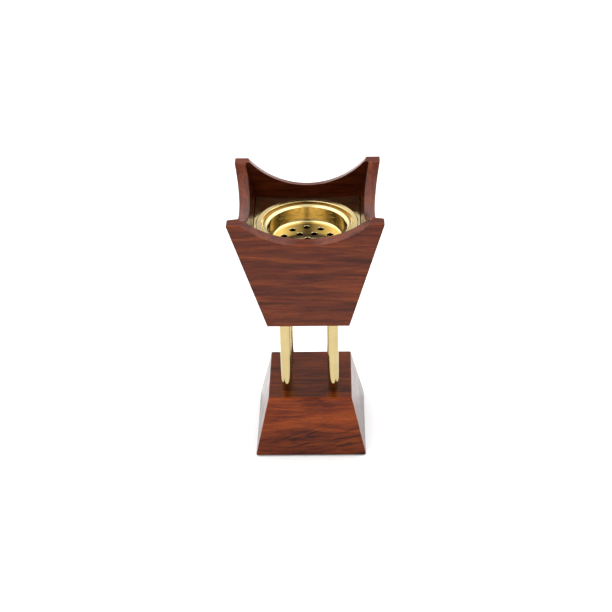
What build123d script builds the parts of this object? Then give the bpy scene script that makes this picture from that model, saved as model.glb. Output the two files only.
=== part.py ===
"""A table-top incense burner: a flared wooden box with hollow-arc edges on four brass columns.

Millimetres, +Z up, the front faces -Y. The origin is the centre of the felt's underside, where the
burner stands on the table. Charcoal and incense burn in a perforated brass bowl, which sits in a
brass ash cup, which hangs in a brass plate inside the box. Bowl and cup lift out upwards.
"""

from build123d import *
from math import atan, cos, radians, sin, tan
import os

os.makedirs("parts", exist_ok=True)

# Heights above the table
overall_height = 250.0
base_height = 57.0
box_bottom_height = 134.0
plate_top_height = 217.8
bowl_floor_height = 202.0
cup_floor_height = 183.0

# Base: a solid hardwood block on felt
base_bottom_width = 102.0
base_top_width = 76.0
base_edge_radius = 1.0
felt_thickness = 1.0
felt_inset = 2.0

# Columns, and the tie rods that clamp base and box together through them
column_offset = 21.2
column_diameter = 10.5
column_wall = 1.0
rod_diameter = 4.0
rod_hole_diameter = 4.4
rod_overhang = 1.5
washer_diameter = 9.0
washer_thickness = 0.8
nut_across_flats = 7.0
nut_height = 3.2
nut_bore_diameter = 4.06
pocket_diameter = 12.0
pocket_depth = 10.0

# Box: four boards round a floor, with the same hollow arc cut in the top of each
box_bottom_width = 72.5
box_top_width = 130.0
board_thickness = 10.0
board_edge_radius = 0.6
floor_thickness = 10.0
arc_chord = 106.6
arc_depth = 22.8

# Blind dowels across the box's corner joints
dowel_diameter = 5.0
dowel_hole_diameter = 5.1
dowel_length = 20.0
dowel_centre_depth = 3.5
dowel_heights = (158.0, 194.0)

# Brass plate and the cleats under it
plate_thickness = 1.0
plate_edge_gap = 0.2
plate_hole_radius = 41.5
plate_seat_radius = 45.0
plate_dish_angle = 6.0
cleat_height = 8.0
cleat_inner_offset = 41.9

# Ash cup
cup_sheet = 1.0
flange_radius = 44.5
flange_outer_rise = 1.1
flange_inner_rise = 0.5
groove_radius = 40.0
seat_depth = 3.1
cup_radius = 36.4
cup_corner_radius = 4.0

# Charcoal bowl
bowl_wall = 1.0
bowl_floor_thickness = 1.2
lip_radius = 38.6
lip_outer_drop = 1.1
lip_inner_drop = 2.4
lip_crown_radius = 36.4
bowl_top_radius = 34.0
bowl_bottom_radius = 32.2
bowl_corner_radius = 3.0
air_hole_radius = 2.9
air_hole_chamfer = 0.25
inner_ring_radius = 11.0
inner_ring_count = 5
outer_ring_radius = 21.3
outer_ring_count = 10
ring_start_angle = 20.7

# Worked out from the sizes above
box_height = overall_height - box_bottom_height
flare = atan((box_top_width - box_bottom_width) / 2 / box_height)
board_level_thickness = board_thickness / cos(flare)
slope_length = box_height / cos(flare)
arc_sagitta = arc_depth / cos(flare)
arc_radius = ((arc_chord / 2) ** 2 + arc_sagitta**2) / (2 * arc_sagitta)
column_spacing = 2 * column_offset
pocket_top = felt_thickness + pocket_depth
floor_top_height = box_bottom_height + floor_thickness
plate_bottom_height = plate_top_height - plate_thickness
seat_height = plate_top_height - seat_depth


def box_half_width(height):
    """Half of the box's outside width at a height."""
    share = (height - box_bottom_height) / box_height
    return (box_bottom_width + (box_top_width - box_bottom_width) * share) / 2


def inner_half_width(height):
    """Half of the width between the inner faces of opposite boards at a height."""
    return box_half_width(height) - board_level_thickness


def frustum(low, low_size, high, high_size):
    """A block between two level rectangles, each size given as (x, y)."""
    with BuildPart() as block:
        with BuildSketch(Plane.XY.offset(low)):
            Rectangle(*low_size)
        with BuildSketch(Plane.XY.offset(high)):
            Rectangle(*high_size)
        loft()
    return block.part


def inside_of_box(low, high):
    """The whole space inside the four boards between two heights."""
    low_width = 2 * inner_half_width(low)
    high_width = 2 * inner_half_width(high)
    return frustum(low, (low_width, low_width), high, (high_width, high_width))


def save(builder, name):
    """Name the finished sub-part and write its STEP file."""
    builder.part.label = name
    export_step(builder.part, f"parts/{name}.step")


def make_base_felt():
    """Thin felt pad glued under the base, covering the nut pockets."""
    felt_width = base_bottom_width - 2 * felt_inset
    with BuildPart() as base_felt:
        with BuildSketch():
            RectangleRounded(felt_width, felt_width, base_edge_radius)
        extrude(amount=felt_thickness)
    save(base_felt, "base_felt")


def make_base_block():
    """Square tapered block with eased edges, rod holes and nut pockets from below."""
    with BuildPart() as base_block:
        with BuildSketch(Plane.XY.offset(felt_thickness)):
            Rectangle(base_bottom_width, base_bottom_width)
        with BuildSketch(Plane.XY.offset(base_height)):
            Rectangle(base_top_width, base_top_width)
        loft()
        fillet(base_block.edges(), radius=base_edge_radius)
        with Locations((0, 0, felt_thickness)):
            with GridLocations(column_spacing, column_spacing, 2, 2):
                Cylinder(
                    pocket_diameter / 2,
                    pocket_depth,
                    align=(Align.CENTER, Align.CENTER, Align.MIN),
                    mode=Mode.SUBTRACT,
                )
                Cylinder(
                    rod_hole_diameter / 2,
                    base_height,
                    align=(Align.CENTER, Align.CENTER, Align.MIN),
                    mode=Mode.SUBTRACT,
                )
    save(base_block, "base_block")


def make_column(name, x, y):
    """One polished brass tube between the base's top and the box's underside."""
    with BuildPart() as column:
        with BuildSketch(Plane.XY.offset(base_height)):
            with Locations((x, y)):
                Circle(column_diameter / 2)
                Circle(column_diameter / 2 - column_wall, mode=Mode.SUBTRACT)
        extrude(amount=box_bottom_height - base_height)
    save(column, name)


def make_tie_rods():
    """Four steel studs, each through the base, a column and the box's floor."""
    low = pocket_top - washer_thickness - nut_height - rod_overhang
    high = floor_top_height + washer_thickness + nut_height + rod_overhang
    with BuildPart() as tie_rods:
        with BuildSketch(Plane.XY.offset(low)):
            with GridLocations(column_spacing, column_spacing, 2, 2):
                Circle(rod_diameter / 2)
        extrude(amount=high - low)
    save(tie_rods, "tie_rods")


def make_washers(name, bottom):
    """Four flat washers, one on each tie rod."""
    with BuildPart() as washers:
        with BuildSketch(Plane.XY.offset(bottom)):
            with GridLocations(column_spacing, column_spacing, 2, 2):
                Circle(washer_diameter / 2)
                Circle(rod_hole_diameter / 2, mode=Mode.SUBTRACT)
        extrude(amount=washer_thickness)
    save(washers, name)


def make_nuts(name, bottom):
    """Four hexagon nuts, one on each tie rod."""
    with BuildPart() as nuts:
        with BuildSketch(Plane.XY.offset(bottom)):
            with GridLocations(column_spacing, column_spacing, 2, 2):
                RegularPolygon(nut_across_flats / 2, side_count=6, major_radius=False)
                Circle(nut_bore_diameter / 2, mode=Mode.SUBTRACT)
        extrude(amount=nut_height)
    save(nuts, name)


def make_box_floor():
    """Thick floor glued in between the four boards, level with their lower edges."""
    with BuildPart() as box_floor:
        add(inside_of_box(box_bottom_height, floor_top_height))
        with Locations((0, 0, box_bottom_height)):
            with GridLocations(column_spacing, column_spacing, 2, 2):
                Cylinder(
                    rod_hole_diameter / 2,
                    floor_thickness,
                    align=(Align.CENTER, Align.CENTER, Align.MIN),
                    mode=Mode.SUBTRACT,
                )
    save(box_floor, "box_floor")


def dowel_planes():
    """Centre of each dowel, with its z direction square through the corner joint."""
    planes = []
    for height in dowel_heights:
        x = box_half_width(height) - board_level_thickness / 2
        y = inner_half_width(height)
        rise = dowel_centre_depth * sin(flare)
        run = dowel_centre_depth * cos(flare)
        for side in (-1, 1):
            for end in (-1, 1):
                centre = (side * x, end * (y - run), height + rise)
                planes.append(Plane(origin=centre, z_dir=(0, -end * cos(flare), sin(flare))))
    return planes


def make_corner_dowels():
    """Glued wooden dowels hidden in the corner joints of the box."""
    with BuildPart() as corner_dowels:
        with Locations(*dowel_planes()):
            Cylinder(dowel_diameter / 2, dowel_length)
    save(corner_dowels, "corner_dowels")


def make_board(name, turn, end_trim):
    """One sloping board of the box, its top edge cut to a hollow arc between two level tips.

    turn is the direction it faces round the box, 0 for the front. end_trim is the outline that
    cuts its ends: the whole box for the long boards, the gap between those for the others.
    """
    out_x = sin(turn)
    out_y = -cos(turn)
    face = Plane(
        origin=(out_x * box_bottom_width / 2, out_y * box_bottom_width / 2, box_bottom_height),
        x_dir=(cos(turn), sin(turn), 0),
        z_dir=(out_x * cos(flare), out_y * cos(flare), -sin(flare)),
    )
    with BuildPart() as board:
        with BuildSketch(face):
            with Locations((0, slope_length / 2)):
                Rectangle(box_top_width + board_thickness, slope_length + board_thickness)
            with Locations((0, slope_length - arc_sagitta + arc_radius)):
                Circle(arc_radius, mode=Mode.SUBTRACT)
        extrude(amount=-board_thickness)
        add(end_trim, mode=Mode.INTERSECT)
        arc_face = board.faces().filter_by(GeomType.CYLINDER)[0]
        tips = board.faces().filter_by(Plane.XY).filter_by(lambda tip: tip.center().Z > overall_height - 1)
        crest = arc_face.edges() + tips[0].edges() + tips[1].edges()
        long_edges = crest.filter_by(lambda edge: abs((edge @ 0.5 - edge @ 0).dot(face.z_dir)) < 0.1)
        fillet(long_edges, radius=board_edge_radius)
        with Locations(*dowel_planes()):
            Cylinder(dowel_hole_diameter / 2, dowel_length, mode=Mode.SUBTRACT)
    save(board, name)


def make_cleats():
    """Four wooden strips glued round the inside of the box to carry the brass plate."""
    bottom = plate_bottom_height - cleat_height
    ring = inside_of_box(bottom, plate_bottom_height)
    across = 2 * cleat_inner_offset
    strip = (inner_half_width(plate_bottom_height) - cleat_inner_offset) * 2
    middle = (bottom + plate_bottom_height) / 2
    for name, x, y, size_x, size_y in (
        ("cleat_front", 0, -1, 2 * box_top_width, strip),
        ("cleat_back", 0, 1, 2 * box_top_width, strip),
        ("cleat_left", -1, 0, strip, across),
        ("cleat_right", 1, 0, strip, across),
    ):
        with BuildPart() as cleat:
            reach = cleat_inner_offset + strip / 2
            with Locations((x * reach, y * reach, middle)):
                Box(size_x, size_y, cleat_height)
            add(ring, mode=Mode.INTERSECT)
        save(cleat, name)


def make_brass_plate():
    """Square sheet-brass plate on the cleats, dished down to a flat seat round the cup's hole."""
    plate_width = 2 * (inner_half_width(plate_bottom_height) - plate_edge_gap)
    slope_run = box_top_width / 2 - plate_seat_radius
    slope_rise = slope_run * tan(radians(plate_dish_angle))
    with BuildPart() as brass_plate:
        with BuildSketch(Plane.XZ):
            with BuildLine():
                Polyline(
                    (plate_hole_radius, plate_bottom_height),
                    (plate_seat_radius, plate_bottom_height),
                    (plate_seat_radius + 2 * slope_run, plate_bottom_height + 2 * slope_rise),
                    (plate_seat_radius + 2 * slope_run, plate_top_height + 2 * slope_rise),
                    (plate_seat_radius, plate_top_height),
                    (plate_hole_radius, plate_top_height),
                    close=True,
                )
            make_face()
        revolve(axis=Axis.Z)
        with Locations((0, 0, plate_top_height)):
            Box(plate_width, plate_width, plate_width, mode=Mode.INTERSECT)
    save(brass_plate, "brass_plate")


def make_ash_cup():
    """Spun brass cup: a flange on the plate, a stepped seat for the bowl and a deep ash space."""
    cup_outer = cup_radius + cup_sheet
    rim_outer = groove_radius + cup_sheet
    cup_bottom = cup_floor_height - cup_sheet
    with BuildPart() as ash_cup:
        with BuildSketch(Plane.XZ):
            with BuildLine():
                profile = FilletPolyline(
                    (0, cup_bottom),
                    (cup_outer, cup_bottom),
                    (cup_outer, seat_height - cup_sheet),
                    (rim_outer, seat_height - cup_sheet),
                    (rim_outer, plate_top_height),
                    (flange_radius, plate_top_height),
                    (flange_radius, plate_top_height + flange_outer_rise),
                    (groove_radius, plate_top_height + flange_inner_rise),
                    (groove_radius, seat_height),
                    (cup_radius, seat_height),
                    (cup_radius, cup_floor_height),
                    (0, cup_floor_height),
                    radius=(
                        cup_corner_radius + cup_sheet,
                        0.3,
                        0.6,
                        0.2,
                        0.3,
                        0.5,
                        0.25,
                        0.3,
                        0.6,
                        cup_corner_radius,
                    ),
                )
                Line(profile @ 1, profile @ 0)
            make_face()
        revolve(axis=Axis.Z)
    save(ash_cup, "ash_cup")


def air_hole_places():
    """Ring locations of the air holes: one in the middle, a ring of five and a ring of ten."""
    inner_start = ring_start_angle + 360 / outer_ring_count
    inner_ring = PolarLocations(inner_ring_radius, inner_ring_count, start_angle=inner_start)
    outer_ring = PolarLocations(outer_ring_radius, outer_ring_count, start_angle=ring_start_angle)
    return [Location((0, 0, 0)), *inner_ring.local_locations, *outer_ring.local_locations]


def make_charcoal_bowl():
    """Brass bowl with a round-crowned lip that rests in the cup and a floor full of air holes."""
    lip_outer_height = plate_top_height - lip_outer_drop
    lip_inner_height = plate_top_height - lip_inner_drop
    bottom_height = bowl_floor_height - bowl_floor_thickness
    top_outer = bowl_top_radius + bowl_wall
    bottom_outer = bowl_bottom_radius + bowl_wall
    with BuildPart() as charcoal_bowl:
        with BuildSketch(Plane.XZ):
            with BuildLine():
                outside = FilletPolyline(
                    (0, bottom_height),
                    (bottom_outer, bottom_height),
                    (top_outer, seat_height),
                    (lip_radius, seat_height),
                    (lip_radius, lip_outer_height),
                    radius=(bowl_corner_radius + bowl_wall, 0.3, 0.3),
                )
                lip = ThreePointArc(
                    (lip_radius, lip_outer_height),
                    (lip_crown_radius, lip_outer_height - 0.05),
                    (bowl_top_radius, lip_inner_height),
                )
                inside = FilletPolyline(
                    (bowl_top_radius, lip_inner_height),
                    (bowl_bottom_radius, bowl_floor_height),
                    (0, bowl_floor_height),
                    radius=bowl_corner_radius,
                )
                Line(inside @ 1, outside @ 0)
            make_face()
        revolve(axis=Axis.Z)
        with BuildSketch(Plane.XY.offset(bowl_floor_height)):
            with Locations(*air_hole_places()):
                Circle(air_hole_radius)
        extrude(amount=-bowl_floor_thickness, mode=Mode.SUBTRACT)
        top_plane = charcoal_bowl.edges().filter_by_position(
            Axis.Z, bowl_floor_height - 0.01, bowl_floor_height + 0.01
        )
        rims = top_plane.filter_by(lambda edge: edge.radius < 2 * air_hole_radius)
        chamfer(rims, length=air_hole_chamfer)
    save(charcoal_bowl, "charcoal_bowl")


make_base_felt()
make_base_block()
for side, x in (("left", -column_offset), ("right", column_offset)):
    for end, y in (("front", -column_offset), ("back", column_offset)):
        make_column(f"column_{end}_{side}", x, y)
make_tie_rods()
make_washers("base_washers", pocket_top - washer_thickness)
make_nuts("base_nuts", pocket_top - washer_thickness - nut_height)
make_washers("floor_washers", floor_top_height)
make_nuts("floor_nuts", floor_top_height + washer_thickness)
make_box_floor()
make_corner_dowels()

whole_box = frustum(
    box_bottom_height,
    (box_bottom_width, box_bottom_width),
    overall_height,
    (box_top_width, box_top_width),
)
between_boards = frustum(
    box_bottom_height,
    (box_bottom_width, 2 * inner_half_width(box_bottom_height)),
    overall_height,
    (box_top_width, 2 * inner_half_width(overall_height)),
)
make_board("front_panel", 0, whole_box)
make_board("right_panel", radians(90), between_boards)
make_board("back_panel", radians(180), whole_box)
make_board("left_panel", radians(270), between_boards)

make_cleats()
make_brass_plate()
make_ash_cup()
make_charcoal_bowl()
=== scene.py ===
"""Looks, lights and camera for the table-top incense burner. Metres, +Z up, the front faces -Y.

Every CAD part keeps its shape and gets a procedural material: varnished red-brown hardwood, mirror
polished brass, zinc-plated steel and black felt. Each board has its own piece of the grain.
"""

import math

import bpy
from mathutils import Matrix, Vector


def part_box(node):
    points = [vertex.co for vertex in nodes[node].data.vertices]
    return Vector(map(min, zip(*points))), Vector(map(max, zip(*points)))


# Camera: where it stands round the burner, and the lens
AIM_HEIGHT = 0.130
CAMERA_DISTANCE = 1.180
CAMERA_ELEVATION = math.radians(32.16)
CAMERA_AZIMUTH = math.radians(1.48)
CAMERA_ROLL = math.radians(-1.44)
CAMERA_PAN = -0.0023
CAMERA_TILT = 0.0017
LENS_MM = 76.5
SENSOR_MM = 36.0

# The boards of the box, as in the CAD
BOARD_THICKNESS = 0.010

# How far above the bottom of the charcoal bowl the ash cup stops being sooty
SOOT_RISE = 0.012
SOOT_FADE = 0.001

# Painted shade on the boards' inner faces, inside the box: how dark it gets, and over how thin a layer it
# fades in
INNER_SHADE_SHARE = 0.36
INNER_SHADE_START = 0.0006
INNER_SHADE_END = 0.0001

# Studio
FLOOR_RADIUS = 3.0
HORIZON_GLOW = 0.28
OVERHEAD_GLOW = 1.20
FRONT_SHARE = 0.18
SIDE_SHARE = 2.8
SOFTBOX_PLACE = (-0.35, -1.20, 0.75)
SOFTBOX_SIZE = 0.7
SOFTBOX_POWER = 6.5

# Linear colours of the brass
BRASS_DARK = (0.60, 0.47, 0.215)
BRASS_LIGHT = (0.68, 0.545, 0.27)

# Painted light and shade: each brass piece is the same metal, made brighter or duller by how much light it
# seems to catch
TUBE_PAINTED_LIGHT = 0.78
PLATE_PAINTED_LIGHT = 1.30
CUP_PAINTED_LIGHT = 1.20
BOWL_PAINTED_LIGHT = 1.0

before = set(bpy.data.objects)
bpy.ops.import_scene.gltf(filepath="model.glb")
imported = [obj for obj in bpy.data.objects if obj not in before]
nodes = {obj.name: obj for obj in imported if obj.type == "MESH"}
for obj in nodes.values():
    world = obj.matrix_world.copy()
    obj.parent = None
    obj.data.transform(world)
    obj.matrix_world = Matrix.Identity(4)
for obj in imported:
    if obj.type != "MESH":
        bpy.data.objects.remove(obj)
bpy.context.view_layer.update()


class Shader:
    """A new material with short calls for adding nodes to its tree."""

    def __init__(self, name):
        self.material = bpy.data.materials.new(name)
        self.material.use_nodes = True
        self.tree = self.material.node_tree
        self.surface = self.tree.nodes["Principled BSDF"]

    def set(self, **values):
        """Sets sockets of the surface; a space in a socket's name is written as an underscore."""
        for socket, value in values.items():
            self.surface.inputs[socket.replace("_", " ")].default_value = value

    def to_surface(self, socket, output):
        self.tree.links.new(output, self.surface.inputs[socket])

    def node(self, kind, inputs=None, **settings):
        """Adds a node; inputs maps a socket's name or number to a value or another node's output."""
        made = self.tree.nodes.new("ShaderNode" + kind)
        for setting, value in settings.items():
            setattr(made, setting, value)
        for socket, value in (inputs or {}).items():
            if isinstance(value, bpy.types.NodeSocket):
                self.tree.links.new(value, made.inputs[socket])
            else:
                made.inputs[socket].default_value = value
        return made

    def place(self, turn=(0, 0, 0), shift=(0, 0, 0), stretch=(1, 1, 1)):
        """Object coordinates, turned, shifted and scaled for a texture."""
        coordinates = self.node("TexCoord").outputs["Object"]
        turned = self.node("Mapping", {"Vector": coordinates, "Rotation": turn, "Location": shift})
        scaled = self.node("Mapping", {"Vector": turned.outputs[0], "Scale": stretch})
        return scaled.outputs[0]

    def noise(self, vector, detail=2.0, roughness=0.5, distortion=0.0, scale=1.0):
        inputs = {"Vector": vector, "Scale": scale, "Detail": detail}
        inputs["Roughness"] = roughness
        inputs["Distortion"] = distortion
        return self.node("TexNoise", inputs).outputs["Fac"]

    def spread(self, value, low, high, to_low=0.0, to_high=1.0):
        """Maps low..high onto to_low..to_high, clamped."""
        inputs = {0: value, 1: low, 2: high, 3: to_low, 4: to_high}
        return self.node("MapRange", inputs).outputs[0]

    def maths(self, operation, first, second=0.0):
        return self.node("Math", {0: first, 1: second}, operation=operation).outputs[0]

    def ramp(self, factor, *stops):
        """A colour ramp from (place, colour) stops."""
        made = self.node("ValToRGB", {"Fac": factor})
        elements = made.color_ramp.elements
        while len(elements) < len(stops):
            elements.new(0.5)
        for element, (where, colour) in zip(elements, stops):
            element.position = where
            element.color = (*colour, 1.0)
        return made.outputs["Color"]

    def mix(self, factor, first, second, blend="MIX"):
        """Mixes two colours; either may be a colour or another node's output."""
        made = self.node("Mix", data_type="RGBA", blend_type=blend)
        for socket, value in ((0, factor), (6, first), (7, second)):
            if isinstance(value, bpy.types.NodeSocket):
                self.tree.links.new(value, made.inputs[socket])
            else:
                made.inputs[socket].default_value = value if socket == 0 else (*value, 1.0)
        return made.outputs[2]

    def shaded(self, colour, share):
        """The colour times a brightness from another node."""
        grey = self.node("CombineColor", {0: share, 1: share, 2: share}).outputs[0]
        return self.mix(1.0, colour, grey, "MULTIPLY")

    def bump(self, height, distance, strength=1.0, normal=None):
        inputs = {"Height": height, "Distance": distance, "Strength": strength}
        if normal is not None:
            inputs["Normal"] = normal
        return self.node("Bump", inputs).outputs[0]


def varnished_wood(
    name, turn, shift, colours, ring_strength, ring_turn=0.0, shade=None, ring_zone=None
):
    """Red-brown hardwood under clear varnish.

    turn lays the grain along the texture's x axis and shift picks the board's own piece of it.
    colours are its dark, middle and light browns. ring_strength is how strongly the dark growth
    lines show, ring_turn how they slope. shade is (direction, start, end, share): going that way
    from start to end, in metres, the wood darkens to that share; this is painted shade.
    ring_zone is a pair of heights: up from the first to the second the growth lines fade out.
    """
    dark, middle, light = colours
    wood = Shader(name)
    figure = wood.noise(wood.place(turn, shift, (16, 125, 125)), 6, 0.6, 0.5)
    colour = wood.ramp(figure, (0.34, dark), (0.50, middle), (0.68, light))

    streaks = wood.noise(wood.place(turn, shift, (32, 640, 640)), 4, 0.65, 0.2)
    colour = wood.shaded(colour, wood.spread(streaks, 0.32, 0.68, 0.68, 1.24))

    sloped = (turn[0], turn[1] + ring_turn, turn[2])
    rings = wood.noise(wood.place(sloped, shift, (7, 190, 110)), 6, 0.60, 1.8)
    ring_lines = wood.spread(rings, 0.53, 0.64, 0.0, ring_strength)
    if ring_zone is not None:
        height = wood.node("SeparateXYZ", {0: wood.place()}).outputs[2]
        ring_lines = wood.maths("MULTIPLY", ring_lines, wood.spread(height, *ring_zone, 1.0, 0.12))
        colour = wood.shaded(colour, wood.spread(height, *ring_zone, 0.60, 1.0))
    colour = wood.mix(ring_lines, colour, tuple(0.22 * c for c in dark))

    pores = wood.noise(wood.place(turn, shift, (170, 2300, 2300)), 2, 0.5)
    colour = wood.mix(wood.spread(pores, 0.60, 0.70, 0.0, 0.6), colour, tuple(0.3 * c for c in dark))
    if shade is not None:
        direction, start, end, share = shade
        along = wood.node("VectorMath", {0: wood.place(), 1: direction}, operation="DOT_PRODUCT")
        colour = wood.shaded(colour, wood.spread(along.outputs["Value"], start, end, 1.0, share))
    wood.to_surface("Base Color", colour)

    smears = wood.noise(wood.place(turn, shift, (40, 60, 60)), 3, 0.6)
    wood.to_surface("Roughness", wood.spread(smears, 0.3, 0.7, 0.12, 0.22))
    ripple = wood.bump(wood.noise(wood.place(turn, shift, (30, 160, 160)), 2, 0.5), 0.0003, 0.3)
    wood.to_surface("Normal", wood.bump(pores, 0.00005, 0.5, ripple))
    wood.set(Specular_IOR_Level=0.15)
    return wood.material


def plain_wood(name, turn, shift):
    """Unvarnished hardwood for what is out of sight inside the box."""
    wood = Shader(name)
    figure = wood.noise(wood.place(turn, shift, (12, 90, 90)), 5, 0.6, 0.4)
    colour = wood.ramp(figure, (0.3, (0.11, 0.04, 0.018)), (0.7, (0.25, 0.11, 0.05)))
    wood.to_surface("Base Color", colour)
    fibres = wood.noise(wood.place(turn, shift, (90, 1800, 1800)), 3, 0.6)
    wood.to_surface("Roughness", wood.spread(fibres, 0.3, 0.7, 0.55, 0.8))
    wood.to_surface("Normal", wood.bump(fibres, 0.0001, 0.6))
    wood.set(Specular_IOR_Level=0.3)
    return wood.material


def toned(colour, painted_brightness):
    """A colour made brighter or duller by a factor."""
    return tuple(painted_brightness * c for c in colour)


def polished_brass(name, stretch, wave_height, wave_scale, painted_brightness):
    """Mirror-polished brass with faint polishing lines, handling marks and a slight sheet wobble.

    stretch is the scale of the polishing lines along each axis. The last argument brightens or dulls the
    metal as painted light and shade.
    """
    brass = Shader(name)
    tarnish = brass.noise(brass.place(stretch=(35, 35, 35)), 4, 0.6)
    colour = brass.ramp(tarnish, (0.3, toned(BRASS_DARK, painted_brightness)), (0.7, toned(BRASS_LIGHT, painted_brightness)))
    brass.to_surface("Base Color", colour)
    lines = brass.noise(brass.place(stretch=stretch), 2, 0.5)
    smudges = brass.noise(brass.place(shift=(0.3, 0.1, 0.2), stretch=(60, 60, 60)), 4, 0.65)
    brass.to_surface("Roughness", brass.spread(smudges, 0.45, 0.75, 0.06, 0.15))
    wobble = brass.noise(brass.place(stretch=(wave_scale,) * 3), 1, 0.4)
    wobbled = brass.bump(wobble, wave_height, 1.0)
    brass.to_surface("Normal", brass.bump(lines, 0.000004, 0.6, wobbled))
    brass.set(Metallic=1.0)
    return brass.material


def turned_brass(name, painted_brightness, soot_below=None):
    """The same brass turned on a lathe: its polishing lines run round the z axis.

    Below the height soot_below it is dulled and browned by heat and ash.
    """
    brass = Shader(name)
    tarnish = brass.noise(brass.place(stretch=(45, 45, 45)), 4, 0.6)
    # The last argument brightens or dulls this copy of the brass: painted light and shade.
    colour = brass.ramp(tarnish, (0.3, toned(BRASS_DARK, painted_brightness)), (0.7, toned(BRASS_LIGHT, painted_brightness)))
    smudges = brass.noise(brass.place(shift=(0.1, 0.4, 0.2), stretch=(70, 70, 70)), 4, 0.65)
    roughness = brass.spread(smudges, 0.45, 0.75, 0.11, 0.18)
    parts = brass.node("SeparateXYZ", {0: brass.place()})
    if soot_below is not None:
        cleanness = brass.spread(parts.outputs[2], soot_below - SOOT_FADE, soot_below)
        colour = brass.mix(cleanness, (0.035, 0.022, 0.012), colour)
        roughness = brass.maths("MAXIMUM", roughness, brass.spread(cleanness, 0.0, 1.0, 0.5, 0.0))
    brass.to_surface("Base Color", colour)
    brass.to_surface("Roughness", roughness)
    across = brass.maths("POWER", parts.outputs[0], 2.0)
    along = brass.maths("POWER", parts.outputs[1], 2.0)
    radius = brass.maths("SQRT", brass.maths("ADD", across, along))
    circle = brass.node("CombineXYZ", {0: radius, 2: parts.outputs[2]}).outputs[0]
    lines = brass.noise(circle, 2, 0.6, scale=2600)
    brass.to_surface("Normal", brass.bump(lines, 0.000002, 0.4))
    brass.set(Metallic=1.0)
    return brass.material


def zinc_steel():
    """Dull zinc-plated steel of the rods, nuts and washers."""
    steel = Shader("zinc_steel_look")
    spangle = steel.noise(steel.place(stretch=(400, 400, 400)), 3, 0.6)
    colour = steel.ramp(spangle, (0.3, (0.42, 0.43, 0.44)), (0.7, (0.62, 0.62, 0.60)))
    steel.to_surface("Base Color", colour)
    steel.to_surface("Roughness", steel.spread(spangle, 0.3, 0.7, 0.28, 0.45))
    steel.to_surface("Normal", steel.bump(spangle, 0.00002, 0.4))
    steel.set(Metallic=1.0)
    return steel.material


def black_felt():
    """Matted black felt under the base."""
    felt = Shader("black_felt")
    fibres = felt.noise(felt.place(stretch=(1500, 1500, 900)), 4, 0.7, 1.0)
    colour = felt.ramp(fibres, (0.3, (0.008, 0.008, 0.009)), (0.7, (0.035, 0.033, 0.034)))
    felt.to_surface("Base Color", colour)
    felt.to_surface("Normal", felt.bump(fibres, 0.0003, 0.8))
    felt.set(Roughness=0.95, Sheen_Weight=0.3, Sheen_Roughness=0.5)
    return felt.material


def wear(node_name, material):
    """Gives a CAD part its material."""
    materials = nodes[node_name].data.materials
    materials.clear()
    materials.append(material)


quarter = math.radians(90)
board_browns = ((0.050, 0.0072, 0.0020), (0.104, 0.0170, 0.0040), (0.172, 0.0345, 0.0065))
base_browns = ((0.085, 0.011, 0.0022), (0.20, 0.033, 0.0045), (0.30, 0.056, 0.0065))


def front_edge(part, height):
    """The y of a part's foremost points at a height."""
    return min(v.co.y for v in nodes[part].data.vertices if abs(v.co.z - height) < 0.0001)


# The boards' slope, and where their outer faces lie along their outward directions
box_low, box_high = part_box("front_panel")
half_bottom = -front_edge("front_panel", box_low.z)
flare = math.atan((box_high.x - half_bottom) / (box_high.z - box_low.z))
outer_face = half_bottom * math.cos(flare) - box_low.z * math.sin(flare)

for board, out_x, out_y, shift in (
    ("front_panel", 0, -1, (0.31, 0.12, 0.05)),
    ("back_panel", 0, 1, (0.83, 0.57, 0.21)),
    ("left_panel", -1, 0, (0.47, 0.91, 0.38)),
    ("right_panel", 1, 0, (0.66, 0.23, 0.74)),
):
    inward = (-out_x * math.cos(flare), -out_y * math.cos(flare), math.sin(flare))
    inner_face = BOARD_THICKNESS - outer_face
    # Painted shade: each board darkens towards its inner face, inside the box.
    smoke = (inward, inner_face - INNER_SHADE_START, inner_face - INNER_SHADE_END, INNER_SHADE_SHARE)
    turn = (0, 0, quarter if out_x else 0)
    wear(board, varnished_wood(board + "_wood", turn, shift, board_browns, 0.18, shade=smoke))

# Painted shade: the base's top, under the box, darkens from just behind its front top edge; the same mask
# also darkens the base's sides and back.
base_top_edge = front_edge("base_block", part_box("base_block")[1].z)
heartwood = ((0, 1, 0), base_top_edge, base_top_edge + 0.002, 0.40)
lined_heights = (0.016, 0.034)
base_shift = (0.15, 0.42, 0.19)
base_wood = varnished_wood(
    "base_wood", (0, 0, 0), base_shift, base_browns, 0.9, math.radians(14), heartwood, lined_heights
)
wear("base_block", base_wood)

for part, turn in (
    ("box_floor", (0, 0, 0)),
    ("cleat_front", (0, 0, 0)),
    ("cleat_back", (0, 0, 0)),
    ("cleat_left", (0, 0, quarter)),
    ("cleat_right", (0, 0, quarter)),
    ("corner_dowels", (0, 0, quarter)),
):
    wear(part, plain_wood(part + "_wood", turn, (0.2, 0.5, 0.1)))

tube_brass = polished_brass("tube_brass", (900, 900, 25), 0.00001, 60, TUBE_PAINTED_LIGHT)
for side in ("left", "right"):
    for end in ("front", "back"):
        wear(f"column_{end}_{side}", tube_brass)
wear("brass_plate", polished_brass("sheet_brass", (60, 1400, 60), 0.00008, 28, PLATE_PAINTED_LIGHT))
soot_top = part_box("charcoal_bowl")[0].z + SOOT_RISE
wear("ash_cup", turned_brass("cup_brass", CUP_PAINTED_LIGHT, soot_top))
wear("charcoal_bowl", turned_brass("bowl_brass", BOWL_PAINTED_LIGHT))

steel = zinc_steel()
for part in ("tie_rods", "base_washers", "base_nuts", "floor_washers", "floor_nuts"):
    wear(part, steel)
wear("base_felt", black_felt())


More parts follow.
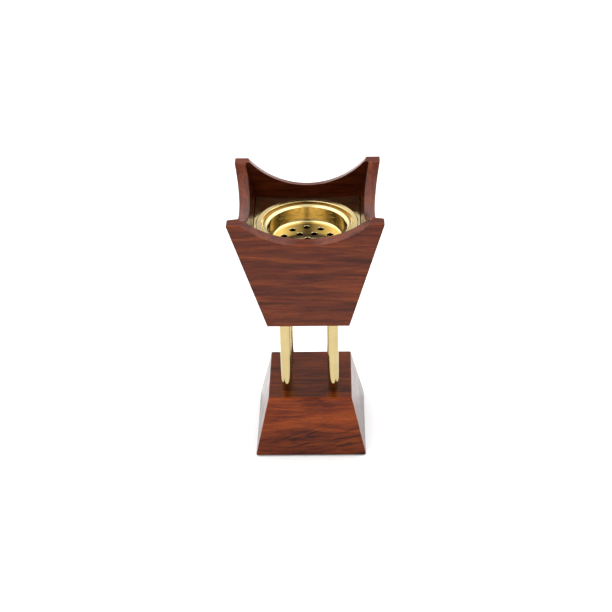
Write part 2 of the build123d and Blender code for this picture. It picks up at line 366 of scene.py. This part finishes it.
def make_floor():
    """A large white disc, lit brightly enough to meet the white backdrop unseen."""
    bpy.ops.mesh.primitive_circle_add(vertices=96, radius=FLOOR_RADIUS, fill_type="NGON")
    floor = bpy.context.object
    floor.name = "floor"
    white = Shader("white_floor")
    grain = white.noise(white.place(stretch=(300, 300, 300)), 2, 0.5)
    white.to_surface("Base Color", white.ramp(grain, (0.3, (0.86, 0.86, 0.86)), (0.7, (0.88, 0.88, 0.88))))
    white.set(Roughness=0.9, Specular_IOR_Level=0.1)
    floor.data.materials.append(white.material)


def make_world():
    """White backdrop; the burner is lit mostly from high up at either side, less from straight
    behind, and least from low down and in front."""
    world = bpy.data.worlds.new("studio")
    bpy.context.scene.world = world
    world.use_nodes = True
    tree = world.node_tree
    tree.nodes.clear()

    def node(kind, **inputs):
        made = tree.nodes.new("ShaderNode" + kind)
        for socket, value in inputs.items():
            key = int(socket[1:]) if socket[0] == "i" and socket[1:].isdigit() else socket
            if isinstance(value, bpy.types.NodeSocket):
                tree.links.new(value, made.inputs[key])
            else:
                made.inputs[key].default_value = value
        return made

    direction = node("TexCoord").outputs["Generated"]
    parts = node("SeparateXYZ", i0=direction)
    by_height = node("MapRange", i0=parts.outputs[2], i1=0.05, i2=0.85, i3=HORIZON_GLOW, i4=OVERHEAD_GLOW)
    by_side = node("MapRange", i0=parts.outputs[1], i1=-0.7, i2=0.1, i3=FRONT_SHARE, i4=1.0)
    sideways = node("Math", i0=parts.outputs[0])
    sideways.operation = "ABSOLUTE"
    by_gap = node("MapRange", i0=sideways.outputs[0], i1=0.09, i2=0.26, i3=1.0, i4=SIDE_SHARE)
    up_and_side = node("Math", i0=by_height.outputs[0], i1=by_side.outputs[0])
    up_and_side.operation = "MULTIPLY"
    glow = node("Math", i0=up_and_side.outputs[0], i1=by_gap.outputs[0])
    glow.operation = "MULTIPLY"
    backdrop = node("Background", Strength=1.0)
    room = node("Background", Strength=glow.outputs[0])
    backdrop.inputs["Color"].default_value = (1, 1, 1, 1)
    room.inputs["Color"].default_value = (1, 1, 1, 1)
    seen = node("LightPath").outputs["Is Camera Ray"]
    both = node("MixShader", i0=seen, i1=room.outputs[0], i2=backdrop.outputs[0])
    output = tree.nodes.new("ShaderNodeOutputWorld")
    tree.links.new(both.outputs[0], output.inputs["Surface"])


def make_softbox(name, place, size, power):
    """A square area light aimed at the burner's middle, which the brass doesn't mirror."""
    light = bpy.data.lights.new(name, "AREA")
    light.size = size
    light.energy = power
    box = bpy.data.objects.new(name, light)
    box.location = place
    box.rotation_mode = "QUATERNION"
    box.visible_glossy = False
    box.rotation_quaternion = (Vector((0, 0, AIM_HEIGHT)) - Vector(place)).to_track_quat("-Z", "Y")
    bpy.context.scene.collection.objects.link(box)


def make_camera():
    """Looks down on the burner from the front, a touch to its right."""
    flat = math.cos(CAMERA_ELEVATION)
    away = Vector((math.sin(CAMERA_AZIMUTH), -math.cos(CAMERA_AZIMUTH), 0))
    back = away * flat + Vector((0, 0, math.sin(CAMERA_ELEVATION)))
    right = Vector((math.cos(CAMERA_AZIMUTH), math.sin(CAMERA_AZIMUTH), 0))
    up = back.cross(right)
    forward = (-back + right * CAMERA_PAN + up * CAMERA_TILT).normalized()
    lens = bpy.data.cameras.new("camera")
    lens.lens = LENS_MM
    lens.sensor_width = SENSOR_MM
    lens.clip_start = 0.05
    camera = bpy.data.objects.new("camera", lens)
    camera.location = Vector((0, 0, AIM_HEIGHT)) + back * CAMERA_DISTANCE
    aim = forward.to_track_quat("-Z", "Y")
    camera.rotation_euler = (aim.to_matrix() @ Matrix.Rotation(CAMERA_ROLL, 3, "Z")).to_euler()
    bpy.context.scene.collection.objects.link(camera)
    bpy.context.scene.camera = camera


make_floor()
make_world()
make_softbox("front", SOFTBOX_PLACE, SOFTBOX_SIZE, SOFTBOX_POWER)
make_camera()
bpy.context.scene.view_settings.view_transform = "Standard"
